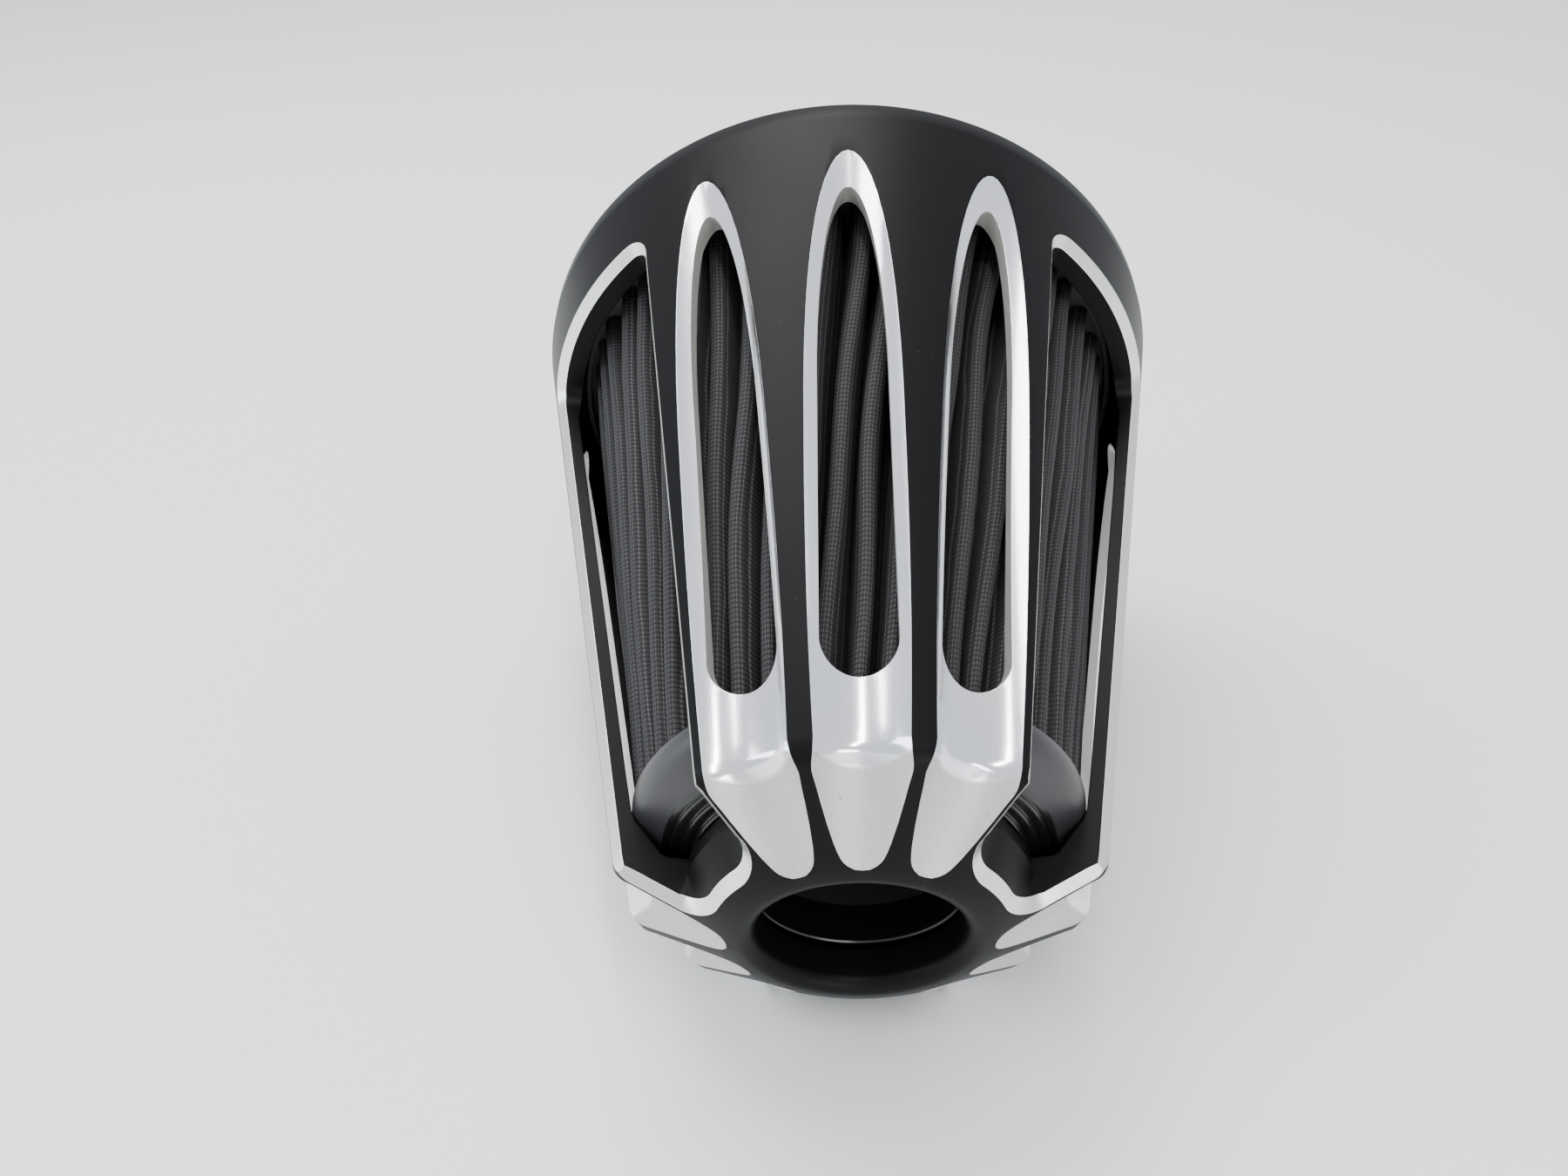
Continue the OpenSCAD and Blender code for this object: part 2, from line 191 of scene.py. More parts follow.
class Finish:
    """One procedural material."""

    def __init__(self, name):
        self.material = bpy.data.materials.new(name)
        self.material.use_nodes = True
        self.tree = self.material.node_tree
        self.tree.nodes.clear()
        out = self.tree.nodes.new("ShaderNodeOutputMaterial")
        self.shader = self.tree.nodes.new("ShaderNodeBsdfPrincipled")
        self.tree.links.new(self.shader.outputs[0], out.inputs[0])

    def node(self, kind, sockets, out=0, **settings):
        return add_node(self.tree, kind, settings, sockets, out)

    def set(self, **values):
        """Fills sockets of the shader and gives back the finished material."""
        for key, value in values.items():
            put(self.tree, self.shader.inputs[key.replace("_", " ")], value)
        return self.material

    def place(self):
        """Object coordinates turned back so that the filter's axis is Z, in millimetres."""
        at = self.node("ShaderNodeTexCoord", {}, out=3)
        back = AXIAL.to_3x3().inverted()
        return self.node("ShaderNodeMapping", {
            "Vector": at, "Rotation": back.to_euler(), "Scale": (1 / MM,) * 3,
            "Location": -(back @ AXIAL.translation)}, vector_type="POINT")

    def stretched(self, place, scale):
        return self.node("ShaderNodeMapping", {"Vector": place, "Scale": scale})

    def axis(self, place, which):
        return self.node("ShaderNodeSeparateXYZ", {"Vector": place}, out="XYZ".index(which))

    def noise(self, vector, scale, detail):
        return self.node("ShaderNodeTexNoise", {"Vector": vector, "Scale": scale, "Detail": detail})

    def specks(self, place, scale, low, high):
        """Small round spots, one in each cell of a loose grid."""
        cells = self.node("ShaderNodeTexVoronoi", {"Vector": place, "Scale": scale})
        return 1 - cells.step(low, high)

    def mix(self, factor, a, b):
        return self.node("ShaderNodeMix", {0: factor, 6: a, 7: b}, out=2, data_type="RGBA")

    def bump(self, height, distance, strength, edge=0.0):
        """Bump of a height, over edges that look rounded to the radius `edge` where it is given."""
        sockets = {"Height": height, "Distance": distance, "Strength": strength}
        if edge:
            sockets["Normal"] = self.node("ShaderNodeBevel", {"Radius": edge}, samples=4)
        return self.node("ShaderNodeBump", sockets)


def anodised(colours):
    """Satin black skin with a few pale specks of dust."""
    f = Finish("black_anodised")
    p = f.place()
    fine, broad = f.noise(p, 1.1, 3), f.noise(p, 0.035, 2)
    base = f.mix(f.specks(p, 0.22, 0.03, 0.06) * 0.3, tuple(colours.anodised), (0.05, 0.05, 0.05))
    rough = 0.33 + broad * 0.10 + fine * 0.05
    return f.set(Base_Color=base, Roughness=rough, Specular_IOR_Level=0.10,
                 Normal=f.bump(fine, 0.00002, 0.35, 0.0004))


def machined(colours):
    """Bright cut along the flutes, matte and grainy on the front cone."""
    f = Finish("machined")
    p = f.place()
    front = f.axis(p, "Z").step(150.7, 151.5)
    lines = f.noise(f.stretched(p, (2.6, 2.6, 0.012)), 1.0, 3)
    tool = f.noise(f.stretched(p, (0.02, 0.02, 1.6)), 1.0, 1)
    grain = f.noise(p, 3.0, 2)
    cloudy = f.noise(p, 0.06, 3)
    spot = f.specks(p, 0.16, 0.05, 0.11) * front
    bright = f.mix(cloudy.step(0.35, 0.7), tuple(colours.machined), (0.84, 0.86, 0.92))
    petal = f.mix(grain.step(0.3, 0.75), tuple(colours.petal), (0.60, 0.59, 0.565))
    petal = f.mix(spot * 0.6, petal, (0.22, 0.20, 0.17))
    rough = (0.11 + lines * 0.09 + tool * 0.03) * (1 - front) + (0.46 + grain * 0.08) * front
    height = lines * (1 - front) * 0.8 + grain * front
    return f.set(Base_Color=f.mix(front, bright, petal), Metallic=1 - front * 0.35, Roughness=rough,
                 Normal=f.bump(height, 0.00003, 0.30, 0.00025))


def bevelled():
    """Bright, slightly grainy cut round the windows."""
    f = Finish("bright_bevel")
    grain = f.noise(f.place(), 2.2, 3)
    return f.set(Base_Color=f.mix(grain, (0.72, 0.72, 0.70), (0.84, 0.84, 0.83)), Metallic=1.0,
                 Roughness=0.26 + grain * 0.14, Normal=f.bump(grain, 0.00003, 0.3, 0.0005))


def slotted(colours):
    """Duller cut through the wall, with fine lines along it."""
    f = Finish("slot_wall")
    lines = f.noise(f.stretched(f.place(), (1.8, 1.8, 0.05)), 1.0, 2)
    return f.set(Base_Color=f.mix(lines, tuple(colours.slot), (0.5, 0.49, 0.47)), Metallic=0.5,
                 Roughness=0.34 + lines * 0.12, Normal=f.bump(lines, 0.00003, 0.3))


def clothed(colours):
    """Pleat cloth under a woven mesh; U runs round the folds and V along them, in millimetres."""
    row_pitch, column_pitch = 1.05, 0.62
    f = Finish("pleat_cloth")
    uv = f.node("ShaderNodeTexCoord", {}, out=2)
    u, v = f.axis(uv, "X"), f.axis(uv, "Y")
    wobble = f.noise(f.stretched(uv, (0.25, 0.05, 1)), 1.0, 2)
    row = (v * (math.pi / row_pitch) + wobble * 1.6).sin()
    column = (u * (math.pi / column_pitch) + wobble * 2.0).sin()
    weft = abs(row).power(0.55)
    warp = abs(column)
    thread = (1 - warp.step(0.0, 0.42)) * weft
    fluff = f.noise(f.stretched(uv, (1.5, 1.5, 1)), 1.0, 3)
    shade = f.mix(weft * (0.35 + 0.65 * fluff), (0.007, 0.007, 0.008), tuple(colours.cloth))
    shade = f.mix(thread * 0.75, shade, tuple(colours.thread))
    height = weft * 0.8 + warp * 0.25 + fluff * 0.25
    return f.set(Base_Color=shade, Roughness=0.62 + fluff * 0.22, Normal=f.bump(height, 0.00028, 0.9),
                 Specular_IOR_Level=0.35)


def moulded(name, base, rough=0.34, front=0.0):
    """Satin moulding; from the height `front` on, towards the nose, it is glossy black."""
    f = Finish(name)
    p = f.place()
    fine, broad = f.noise(p, 1.6, 3), f.noise(p, 0.05, 2)
    shade = f.mix(broad, base, tuple(1.5 * k for k in base))
    shine = rough + fine * 0.12
    if front:
        gloss = f.axis(p, "Z").step(front - 0.3, front)
        shade = f.mix(gloss, shade, (0.004, 0.004, 0.0045))
        shine = shine * (1 - gloss) + 0.22 * gloss
    return f.set(Base_Color=shade, Roughness=shine, Normal=f.bump(fine, 0.00004, 0.3, 0.0003))


def metal(name, base, rough):
    """Plain metal with a faint unevenness."""
    f = Finish(name)
    fine = f.noise(f.place(), 0.8, 3)
    return f.set(Base_Color=f.mix(fine, base, tuple(0.8 * k for k in base)), Metallic=1.0,
                 Roughness=rough + fine * 0.12, Normal=f.bump(fine, 0.00002, 0.25, 0.0002))


def inner_cloth():
    """Cloth of the inner cone, with fine ribs across its axis."""
    rib_pitch = 0.9
    f = Finish("inner_cloth")
    p = f.place()
    weave = abs((f.axis(p, "Z") * (math.pi / rib_pitch)).sin())
    fine = f.noise(p, 1.5, 3)
    return f.set(Base_Color=f.mix(fine, (0.02, 0.02, 0.021), (0.045, 0.045, 0.047)), Roughness=0.8,
                 Normal=f.bump(weave + fine, 0.0002, 0.6))


# ---------------------------------------------------------------- modelling helpers

def deselect():
    if bpy.context.mode != "OBJECT":
        bpy.ops.object.mode_set(mode="OBJECT")
    bpy.ops.object.select_all(action="DESELECT")


def pick(obj):
    deselect()
    obj.select_set(True)
    bpy.context.view_layer.objects.active = obj


def ring_of_edges(vertices, radius, z):
    """A circle round the axis, left selected in edit mode."""
    bpy.ops.mesh.primitive_circle_add(
        vertices=vertices, radius=radius, fill_type="NOTHING", location=(0, 0, z))
    bpy.ops.object.transform_apply(location=True, rotation=True, scale=True)
    bpy.ops.object.mode_set(mode="EDIT")
    bpy.ops.mesh.select_all(action="SELECT")
    return bpy.context.active_object


def raise_by(height):
    """Extrudes what is selected towards the nose."""
    bpy.ops.mesh.extrude_region_move(TRANSFORM_OT_translate={"value": (0, 0, height)})


def lathe(name, points, segments):
    """A ring drawn up by extrusion through the points of a closed (radius, height) outline."""
    deselect()
    r, z = points[0]
    obj = ring_of_edges(segments, r, z)
    obj.name = name
    for r2, z2 in list(points[1:]) + [points[0]]:
        raise_by(z2 - z)
        if abs(r2 - r) > 1e-9:
            bpy.ops.transform.resize(value=(r2 / r, r2 / r, 1), center_override=(0, 0, z2))
        r, z = r2, z2
    bpy.ops.object.mode_set(mode="OBJECT")
    return outward(obj)


def outward(obj, weld=0.0005):
    """Welds the piece and turns its faces outward, told by the volume they enclose."""
    pick(obj)
    bpy.ops.object.mode_set(mode="EDIT")
    bpy.ops.mesh.select_all(action="SELECT")
    bpy.ops.mesh.remove_doubles(threshold=weld)
    bpy.ops.mesh.normals_make_consistent(inside=False)
    bpy.ops.object.mode_set(mode="OBJECT")
    if sum(f.center.dot(f.normal) * f.area for f in obj.data.polygons) < 0:
        bpy.ops.object.mode_set(mode="EDIT")
        bpy.ops.mesh.select_all(action="SELECT")
        bpy.ops.mesh.flip_normals()
        bpy.ops.object.mode_set(mode="OBJECT")
    return obj


def arc(cx, cz, r, a0, a1, steps):
    """Points of an arc; angles in degrees from the radial direction towards the nose."""
    return [(cx + r * math.cos(math.radians(a0 + (a1 - a0) * i / steps)),
             cz + r * math.sin(math.radians(a0 + (a1 - a0) * i / steps))) for i in range(steps + 1)]


def turned(obj, angle, out=0.0):
    """A copy of a tool, moved out from the axis and turned round it towards +X, with its own mesh."""
    pick(obj)
    bpy.ops.object.duplicate()
    copy = bpy.context.active_object
    copy.matrix_world = Matrix.Rotation(-math.radians(angle), 4, "Z") @ Matrix.Translation((0, out, 0))
    bpy.ops.object.transform_apply(location=True, rotation=True, scale=True)
    return copy


def cut(obj, tools):
    """Takes each tool out of the piece; cut faces keep the tool's material."""
    for tool in tools:
        pick(obj)
        m = obj.modifiers.new("cut", "BOOLEAN")
        m.operation = "DIFFERENCE"
        m.solver = "EXACT"
        m.material_mode = "TRANSFER"
        m.object = tool
        bpy.ops.object.modifier_apply(modifier=m.name)
        bpy.data.objects.remove(tool)


def finish(obj, body, *stands_for, smooth, slot):
    """Lays the piece down at its place, smooths it and lets it ride on its body."""
    pick(obj)
    obj.matrix_world = LAY
    bpy.ops.object.transform_apply(location=True, rotation=True, scale=True)
    bpy.ops.object.shade_smooth_by_angle(angle=math.radians(smooth))
    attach(obj, body)
    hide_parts(*stands_for)
    deselect()


def dress(material, *names):
    """Gives solids that keep their shape a better material."""
    for name in names:
        NODES[name].data.materials.clear()
        NODES[name].data.materials.append(material)


class Form:
    """The cover's outline, worked out from its sizes."""

    def __init__(self, s):
        self.s = s
        self.slope = math.atan((s.rim_radius - s.shoulder_radius) / (s.shoulder_z - s.lip))
        self.front = math.atan((s.nose_z - 1.0 - s.shoulder_z) / (s.shoulder_radius - s.ring_radius))
        self.turn = math.pi / 2 - self.slope - self.front
        self.tangent = t = s.rounding * math.tan(self.turn / 2)
        self.round_r = s.shoulder_radius + t * math.sin(self.slope) - s.rounding * math.cos(self.slope)
        self.round_z = s.shoulder_z - t * math.cos(self.slope) - s.rounding * math.sin(self.slope)
        self.bore_z = s.lip + (s.rim_radius - s.wall - s.bore) / math.tan(self.slope)
        self.taper_radius = self.hollow(s.hollow_z - s.taper) - 0.8 * s.taper

    def outer(self, z):
        return self.s.rim_radius - (z - self.s.lip) * math.tan(self.slope)

    def hollow(self, z):
        return self.outer(z) - self.s.wall

    def shoulder(self, radius, steps):
        """An arc over the shoulder, from the cone to the front cone."""
        return arc(self.round_r, self.round_z, radius, math.degrees(self.slope),
                   90 - math.degrees(self.front), steps)


def cover_outline(form):
    """Up the outside from the rear face, round the nose ring and back down the inside."""
    s = form.s
    rim, ring, top = s.rim_radius, s.ring_radius, s.hollow_z
    pts = [(rim - 0.7, 0.0), (rim - 0.15, 0.2), (rim, 0.7), (rim, s.lip - 0.3), (rim - 0.1, s.lip + 0.2)]
    z = s.lip + 6
    while z < form.round_z - 4:
        pts.append((form.outer(z), z))
        z += 8
    pts += form.shoulder(s.rounding, 10)
    start_r, start_z = pts[-1]
    for k in (0.3, 0.6, 0.9):
        pts.append((start_r + (ring - start_r) * k, start_z + (s.nose_z - 1.0 - start_z) * k))
    pts += [(ring - 1.0, s.nose_z - 0.55)]
    pts += arc(s.inlet_radius + 3, s.nose_z - 3, 3, 80, 180, 12)
    pts += [(s.inlet_radius, top + NECK_BORE_LENGTH + 1), (NECK_BORE_R, top + NECK_BORE_LENGTH),
            (NECK_BORE_R, top), (form.taper_radius - 0.8, top), (form.taper_radius + 0.5, top - 0.6)]
    low = top - s.taper
    pts += [(form.hollow(low) - 0.8, low + 1.0), (form.hollow(low) + 0.1, low - 1.0)]
    z = low - 10
    while z > form.bore_z + 2:
        pts.append((form.hollow(z), z))
        z -= 10
    pts += [(s.bore, form.bore_z), (s.bore, 15.0), (s.bore, PLATE_SEAT_Z), (PLATE_SEAT_R, PLATE_SEAT_Z),
            (PLATE_SEAT_R, 0.0)]
    return pts


def flute_path(form):
    """Centre line of the flute cutter in the (radius, height) plane."""
    s = form.s
    cs, sn = math.cos(form.slope), math.sin(form.slope)
    cf, sf = math.cos(form.front), math.sin(form.front)
    tip = (s.flute_tip - s.lip) / cs
    stop = (s.shoulder_z - s.lip) / cs - tip - form.tangent
    entry, level, rise = 65, 75, 0.00041

    def depth(u):
        """Depth of a flute u mm past its tip: it sinks in over the entry and rises after the level."""
        if u < entry:
            return s.flute_depth * (1 - ((entry - u) / entry) ** 2)
        return s.flute_depth - rise * max(0, u - level) ** 2

    pts = []
    u = -14.0
    while u < stop - 0.5:
        at, off = tip + u, s.cutter - depth(u)
        r, z = s.rim_radius - at * sn, s.lip + at * cs
        pts.append((r + off * cs, z + off * sn))
        u += 3.0 if u < 60 else 5.0
    last = depth(stop)
    pts += form.shoulder(s.rounding + s.cutter - last, 12)
    start_r, start_z = form.round_r + s.rounding * sf, form.round_z + s.rounding * cf
    run = (start_r - s.ring_radius) / cf
    for k in range(1, 30):
        # the flute runs out along the petal and leaves the skin near the nose ring
        u = run * k / 19
        v = u / run
        sunk = last * (1 - 0.88 * v ** 0.85) - 32 * max(0, v - 0.82) ** 2
        off = s.cutter - sunk
        pts.append((start_r - u * cf + off * sf, start_z + u * sf + off * cf))
        if sunk < -3:
            break
    return pts


def flute_tool(form, material):
    """The round cutter swept along its path, as a capped tube."""
    deselect()
    path = flute_path(form)
    data = bpy.data.curves.new("flute_tool", "CURVE")
    data.dimensions = "3D"
    spline = data.splines.new("POLY")
    spline.points.add(len(path) - 1)
    for p, (r, z) in zip(spline.points, path):
        p.co = (0, r, z, 1)
    data.bevel_depth = form.s.cutter
    data.bevel_resolution = 30
    data.use_fill_caps = True
    tool = bpy.data.objects.new("flute_tool", data)
    bpy.context.collection.objects.link(tool)
    pick(tool)
    bpy.ops.object.convert(target="MESH")
    tool.data.materials.clear()
    tool.data.materials.append(material)
    return outward(tool)


def slot_tool(form, material):
    """A long prism: round at the nose end, drawn out to a rounded point at the rim end."""
    deselect()
    s = form.s
    half, reach, roundness = s.slot_width / 2, 50.0, 2.05
    thick, below = 40, 22
    bpy.ops.mesh.primitive_circle_add(vertices=96, radius=half, fill_type="NOTHING")
    tool = bpy.context.active_object
    length = (s.slot_end - s.slot_start) / math.cos(form.slope)
    for v in tool.data.vertices:
        x, y = v.co.x, v.co.y
        if y <= 0.01:
            v.co.y = y + half
        else:
            a = math.atan2(y, abs(x))
            k = (math.cos(a) ** roundness + math.sin(a) ** roundness) ** (-1 / roundness)
            v.co.x = math.copysign(k * math.cos(a) * half, x)
            v.co.y = length - reach + k * math.sin(a) * reach
    bpy.ops.object.mode_set(mode="EDIT")
    bpy.ops.mesh.select_all(action="SELECT")
    bpy.ops.mesh.fill()
    raise_by(thick)
    bpy.ops.object.mode_set(mode="OBJECT")
    tool.matrix_world = (Matrix.Translation((0, form.outer(s.slot_end), s.slot_end))
                         @ Matrix.Rotation(form.slope - math.pi / 2, 4, "X")
                         @ Matrix.Translation((0, 0, -below)))
    bpy.ops.object.transform_apply(location=True, rotation=True, scale=True)
    tool.data.materials.append(material)
    return outward(tool)


def window_ring(total, rim_round, nose_round):
    """One outline of a window, as (side, inset from the flank, run, outward sideways, outward along)."""
    steps = 9
    quarter = [math.pi / 2 * k / steps for k in range(1, steps)]
    flank = [rim_round + (total - rim_round - nose_round) * k / 46 for k in range(47)]

    def nose_corner(side, a):
        return (side, nose_round * (1 - math.cos(a)), total - nose_round + nose_round * math.sin(a),
                side * math.cos(a), math.sin(a))

    def rim_corner(side, a):
        return (side, rim_round * (1 - math.cos(a)), rim_round * (1 - math.sin(a)),
                side * math.cos(a), -math.sin(a))

    ring = [(-1, 0.0, t, -1.0, 0.0) for t in flank]
    ring += [nose_corner(-1, a) for a in quarter]
    ring += [(k / 12 - 1, nose_round, total, 0.0, 1.0) for k in range(25)]
    ring += [nose_corner(1, a) for a in reversed(quarter)]
    ring += [(1, 0.0, t, 1.0, 0.0) for t in reversed(flank)]
    ring += [rim_corner(1, a) for a in quarter]
    ring += [(1 - k / 16, rim_round, 0.0, 0.0, -1.0) for k in range(33)]
    ring += [rim_corner(-1, a) for a in reversed(quarter)]
    return ring


def window_tool(form, wall, bevel):
    """Four rings of one rounded outline: deep, at the foot of the bevel, past the skin, and far out."""
    deselect()
    s = form.s
    half = math.radians(s.window_angle / 2 - 1.6)
    cone_run = (s.shoulder_z - s.window_z) / math.cos(form.slope)
    total = cone_run + (s.shoulder_radius - s.hub_radius + 2.8) / math.cos(form.front)
    ring = window_ring(total, 4.2, 5.6)
    n = len(ring)

    def skin(t):
        """Radius, height and outward normal on the skin, t mm from the window's start."""
        k = t - cone_run
        if k < 0:
            r, z = s.shoulder_radius - k * math.sin(form.slope), s.shoulder_z + k * math.cos(form.slope)
        else:
            r, z = s.shoulder_radius - k * math.cos(form.front), s.shoulder_z + k * math.sin(form.front)
        a = form.slope + form.turn * min(1, max(0, (k + 3) / 6))
        return r, z, math.cos(a), math.sin(a)

    def point(entry, level):
        """Radius, height and angle of a point of the outline at one of the four rings."""
        side, inset, t, sideways, onward = entry
        r, z, nr, nz = skin(t)
        wide = 1.75 + 1.4 * max(0.0, onward) * (t > cone_run) + 0.35 * max(0.0, -onward)
        angle = side * (half - inset / r)
        if level == 0:
            deep = s.window_z + (min(z, s.shoulder_z) - s.window_z) * 0.99 + max(0, t - cone_run) * 0.1
            return s.hub_radius, deep, angle
        along, up = ((0.0, -min(wide, 2.0)), (wide + 2.0, 2.0), (wide + 2.0, 20.0))[level - 1]
        angle += sideways * along / r
        return r - nz * onward * along + nr * up, z + nr * onward * along + nz * up, angle

    tool = ring_of_edges(n, 10, 0)
    for _ in range(3):
        raise_by(10)
    bpy.ops.object.mode_set(mode="OBJECT")
    order = sorted(tool.data.vertices,
                   key=lambda v: (round(v.co.z), math.atan2(v.co.x, v.co.y) % (2 * math.pi)))
    ranks = {v.index: k // n for k, v in enumerate(order)}
    for k, v in enumerate(order):
        level, i = divmod(k, n)
        r, z, angle = point(ring[i], level)
        v.co = (r * math.sin(angle), r * math.cos(angle), z)
    tool.data.materials.append(wall)
    tool.data.materials.append(bevel)
    for f in tool.data.polygons:
        levels = [ranks[v] for v in f.vertices]
        f.material_index = 1 if min(levels) == 1 and max(levels) == 2 else 0
    for level in (0, 3):
        pick(tool)
        bpy.ops.object.mode_set(mode="EDIT")
        bpy.ops.mesh.select_all(action="DESELECT")
        bpy.ops.mesh.select_mode(type="EDGE")
        bpy.ops.object.mode_set(mode="OBJECT")
        for e in tool.data.edges:
            e.select = all(ranks[v] == level for v in e.vertices)
        bpy.ops.object.mode_set(mode="EDIT")
        bpy.ops.mesh.fill()
        bpy.ops.object.mode_set(mode="OBJECT")
    return outward(tool, 0.001)


def pleat_point(s, turn, k):
    """A point of the outer pleats, `turn` folds round and k of the way from the base to the nose."""
    fold, part = int(turn), turn - int(turn)
    x = abs(part - 0.5) * 2
    lean = 0.10 * math.sin(fold * 2.39 + 5.0 * k) + 0.07 * math.sin(fold * 5.1 + 11.0 * k)
    full = s.pleat_base + (s.pleat_end - s.pleat_base) * k
    deep = 13.2 - 4.4 * k
    sink = 0.11 * (x / 0.55) ** 2.2 if x < 0.55 else 0.11 + 0.89 * ((x - 0.55) / 0.45) ** 0.85
    jitter = 0.45 * math.sin(fold * 3.7) * math.sin(3.1 * k + fold)
    r = full - 0.15 - deep * sink - abs(jitter) * (1 - sink)
    a = (fold + 0.5 + (part - 0.5) + lean * (1 - sink)) / s.pleats * 2 * math.pi
    a -= math.radians(s.pleat_twist) * k
    return r * math.sin(a), r * math.cos(a)


def lay_cloth(obj, spots, wrap):
    """Writes each corner's place on the flat cloth; the faces on the seam go past one whole wrap."""
    layer = obj.data.uv_layers[0]
    for f in obj.data.polygons:
        places = [spots[obj.data.loops[i].vertex_index] for i in f.loop_indices]
        us = [u for u, _ in places]
        seam = max(us) - min(us) > wrap / 2
        for i, (u, v) in zip(f.loop_indices, places):
            layer.data[i].uv = (u + (wrap if seam and u < wrap / 2 else 0), v)


def front_cap_outline(s):
    """Section of the front end cap: fillet, three ridges, and a neck with a groove for its seal."""
    top, r, h = s.pleat_top, s.pleat_end, s.hollow_z
    ridge = Form(s).taper_radius - 1
    pts = [(s.inlet_radius + 0.2, top), (r + 0.7, top), (r + 0.9, top + 0.2)]
    pts += arc(r - 4.7, top + 0.6, 5.6, 0, 62, 10)
    pts += [(ridge + 1.2, h - 3.6), (ridge + 0.3, h - 3.4)]
    for k in range(3):
        a, z = ridge - 2 * k, h - 3.4 + 0.9 * k
        pts += [(a + 0.1, z), (a, z + 0.1), (a, z + 0.7), (a - 0.25, z + 0.9)]
    pts += [(22.9, h - 0.7), (22.7, h - 0.5), (22.7, h + 0.9), (22.0, h + 1.5), (22.0, h + 3.1),
            (22.7, h + 3.7), (22.4, h + 4.4), (s.inlet_radius + 0.5, h + 4.4), (s.inlet_radius + 0.2, h + 4.1)]
    return pts


def report(operator, obj):
    """Ends an operator, as an error where its piece has no faces."""
    if not len(obj.data.polygons):
        raise RuntimeError(operator.bl_label + " made nothing")
    return {"FINISHED"}


class FILTER_OT_cover(bpy.types.Operator):
    """Lathes the billet cover, then cuts its flutes, slots and windows"""
    bl_idname = "filter.cover"
    bl_label = "Cover"

    def execute(self, context):
        s, c = context.scene.filter_sizes, context.scene.filter_colours
        form = Form(s)
        skin = anodised(c)
        obj = lathe("cover", cover_outline(form), 288)
        obj.data.materials.append(skin)
        flute, slot = flute_tool(form, machined(c)), slot_tool(form, slotted(c))
        window = window_tool(form, skin, bevelled())
        angles = [g + m * s.flute_pitch for g in GROUPS for m in (-1, 0, 1)]
        cut(obj, [turned(window, g + BETWEEN) for g in GROUPS])
        cut(obj, [turned(flute, a) for a in angles])
        cut(obj, [turned(slot, a) for a in angles])
        bore = lathe("bore", [(0.01, INSERT_Z0), (INSERT_R, INSERT_Z0), (INSERT_R, INSERT_Z1),
                              (0.01, INSERT_Z1)], 32)
        cut(obj, [turned(bore, g + BETWEEN, SCREW_CIRCLE) for g in GROUPS])
        for tool in (flute, slot, window, bore):
            bpy.data.objects.remove(tool)
        finish(obj, "cover", "cover_shell", smooth=28, slot="black_anodised")
        return report(self, obj)


class FILTER_OT_pleats(bpy.types.Operator):
    """Folds the outer pleats, with their woven mesh, into a slightly twisted cone"""
    bl_idname = "filter.pleats"
    bl_label = "Outer pleats"

    def execute(self, context):
        s, c = context.scene.filter_sizes, context.scene.filter_colours
        per_fold, rows = 14, 40
        length = s.pleat_top - PLEAT_Z0
        deselect()
        obj = ring_of_edges(s.pleats * per_fold, s.pleat_base, PLEAT_Z0)
        obj.name = "pleats"
        for _ in range(rows):
            raise_by(length / rows)
        bpy.ops.object.mode_set(mode="OBJECT")
        spots = {}
        for v in obj.data.vertices:
            turn = (math.atan2(v.co.x, v.co.y) / (2 * math.pi)) % 1 * s.pleats
            turn = round(turn * per_fold) / per_fold % s.pleats
            z = v.co.z
            v.co = (*pleat_point(s, turn, (z - PLEAT_Z0) / length), z)
            spots[v.index] = (turn * CLOTH_PER_FOLD, z)
        lay_cloth(obj, spots, s.pleats * CLOTH_PER_FOLD)
        pick(obj)
        m = obj.modifiers.new("thick", "SOLIDIFY")
        m.thickness, m.offset = 0.9, -1
        bpy.ops.object.modifier_apply(modifier=m.name)
        obj.data.materials.append(clothed(c))
        finish(obj, "element", "outer_pleats", "outer_mesh", smooth=60, slot="media")
        return report(self, obj)


class FILTER_OT_caps(bpy.types.Operator):
    """Lathes the element's front end cap and finishes its other moulded pieces"""
    bl_idname = "filter.caps"
    bl_label = "End caps"

    def execute(self, context):
        s, c = context.scene.filter_sizes, context.scene.filter_colours
        obj = lathe("front_cap", front_cap_outline(s), 160)
        obj.data.materials.append(moulded("moulded_cap", tuple(c.moulded), front=s.hollow_z - 3.7))
        finish(obj, "element", "front_end_cap", smooth=35, slot="moulded")
        dress(moulded("moulded_base", (0.022, 0.022, 0.024), 0.42), "base_end_cap", "inner_tip_cap")
        dress(inner_cloth(), "inner_pleats")
        dress(metal("cage_wire", (0.45, 0.45, 0.46), 0.35), "inner_cage")
        dress(moulded("soft_rubber", (0.012, 0.012, 0.012), 0.55), "nose_seal", "base_seal",
              "rim_gasket", "throttle_seal", "breather_seal_left", "breather_seal_right")
        return report(self, obj)


class FILTER_OT_plate(bpy.types.Operator):
    """Finishes the backplate, its velocity ring and the fasteners"""
    bl_idname = "filter.plate"
    bl_label = "Backplate"

    def execute(self, context):
        dress(moulded("plate_anodised", (0.02, 0.02, 0.022), 0.36), "backplate")
        dress(metal("turned_ring", (0.78, 0.79, 0.81), 0.22), "velocity_ring")
        dress(metal("stainless", (0.62, 0.62, 0.63), 0.28),
              *(f"cover_{kind}_{i}" for kind in ("screw", "washer") for i in (1, 2, 3)))
        dress(metal("brass", (0.62, 0.46, 0.2), 0.3), *(f"thread_insert_{i}" for i in (1, 2, 3)))
        return {"FINISHED"}


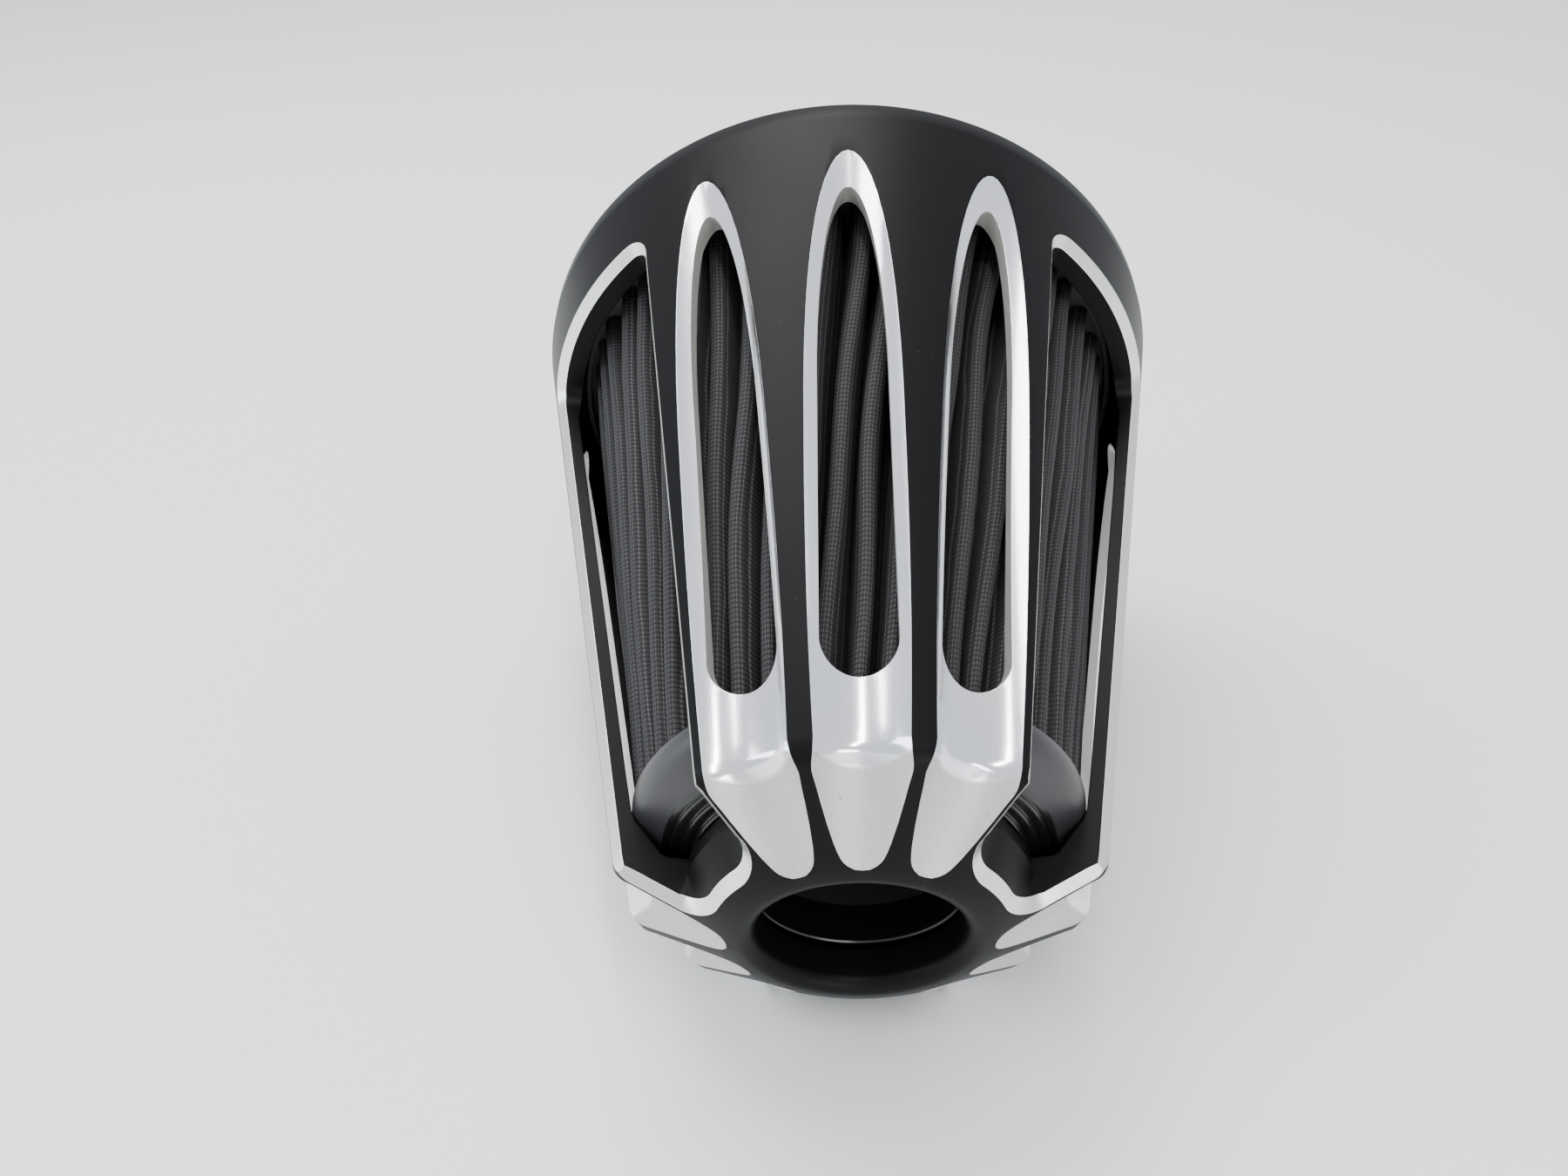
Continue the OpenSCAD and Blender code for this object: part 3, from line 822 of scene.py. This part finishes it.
class FILTER_OT_stage(bpy.types.Operator):
    """Sets the pale floor, the soft lights and the camera"""
    bl_idname = "filter.stage"
    bl_label = "Stage"

    def execute(self, context):
        c = context.scene.filter_colours
        deselect()
        bpy.ops.mesh.primitive_plane_add(size=6, location=(0, 0, CAD_BOX[0][2] - 0.00005))
        floor = context.active_object
        floor.name = "floor"
        bpy.ops.object.transform_apply(location=True, rotation=True, scale=True)
        f = Finish("pale_floor")
        cloud = f.noise(f.node("ShaderNodeTexCoord", {}, out=3), 3.0, 3)
        shade = f.mix(cloud, tuple(c.floor), tuple(0.96 * k for k in c.floor))
        floor.data.materials.append(f.set(Base_Color=shade, Roughness=0.5))
        world = bpy.data.worlds.new("studio")
        world.use_nodes = True
        sky = world.node_tree.nodes["Background"]
        sky.inputs["Color"].default_value = (0.92, 0.95, 1.0, 1)
        sky.inputs["Strength"].default_value = 1.15
        context.scene.world = world
        aim = Vector((0, 0, 0.08))
        for name, place, width, height, power, colour in (
                ("key", (-0.25, 0.45, 1.0), 0.9, 0.5, 12, (1, 1, 1)),
                ("left", (-1.0, -0.2, 0.5), 0.5, 0.9, 6, (0.90, 0.97, 1)),
                ("strip", (0.12, -0.35, 1.1), 0.08, 1.0, 7, (1, 0.98, 0.95)),
                ("nose", (0.35, -1.0, 0.25), 0.5, 0.25, 3, (1, 1, 1))):
            light = bpy.data.lights.new(name, "AREA")
            light.shape = "RECTANGLE"
            light.size, light.size_y = width, height
            light.energy, light.color = power, colour
            lamp = bpy.data.objects.new(name, light)
            lamp.location = place
            lamp.rotation_euler = (aim - Vector(place)).to_track_quat("-Z", "Y").to_euler()
            context.collection.objects.link(lamp)
        cam = bpy.data.cameras.new("camera")
        cam.lens, cam.sensor_width, cam.clip_start = 31.045509, 36.0, 0.01
        camera = bpy.data.objects.new("camera", cam)
        camera.location = (-0.005738, -0.249262, 0.236811)
        camera.rotation_euler = [math.radians(a) for a in (54.432266, 1.524955, 1.077038)]
        context.collection.objects.link(camera)
        context.scene.camera = camera
        return {"FINISHED"}


class FILTER_PT_panel(bpy.types.Panel):
    """Lists the pieces and their sizes"""
    bl_idname = "FILTER_PT_panel"
    bl_label = "Air Filter"
    bl_space_type = "VIEW_3D"
    bl_region_type = "UI"
    bl_category = "Air Filter"

    def draw(self, context):
        for op in PIECES:
            self.layout.operator(op.bl_idname)
        for group in (context.scene.filter_sizes, context.scene.filter_colours):
            for key in group.__annotations__:
                self.layout.prop(group, key)


PIECES = (FILTER_OT_cover, FILTER_OT_pleats, FILTER_OT_caps, FILTER_OT_plate, FILTER_OT_stage)
CLASSES = (FilterSizes, FilterColours, *PIECES, FILTER_PT_panel)


def register():
    for c in CLASSES:
        bpy.utils.register_class(c)
    bpy.types.Scene.filter_sizes = bpy.props.PointerProperty(type=FilterSizes)
    bpy.types.Scene.filter_colours = bpy.props.PointerProperty(type=FilterColours)


def unregister():
    del bpy.types.Scene.filter_sizes, bpy.types.Scene.filter_colours
    for c in reversed(CLASSES):
        bpy.utils.unregister_class(c)


def main():
    register()
    bpy.ops.filter.cover()
    bpy.ops.filter.pleats()
    bpy.ops.filter.caps()
    bpy.ops.filter.plate()
    bpy.ops.filter.stage()
    bpy.context.view_layer.update()


if __name__ == "__main__":
    main()
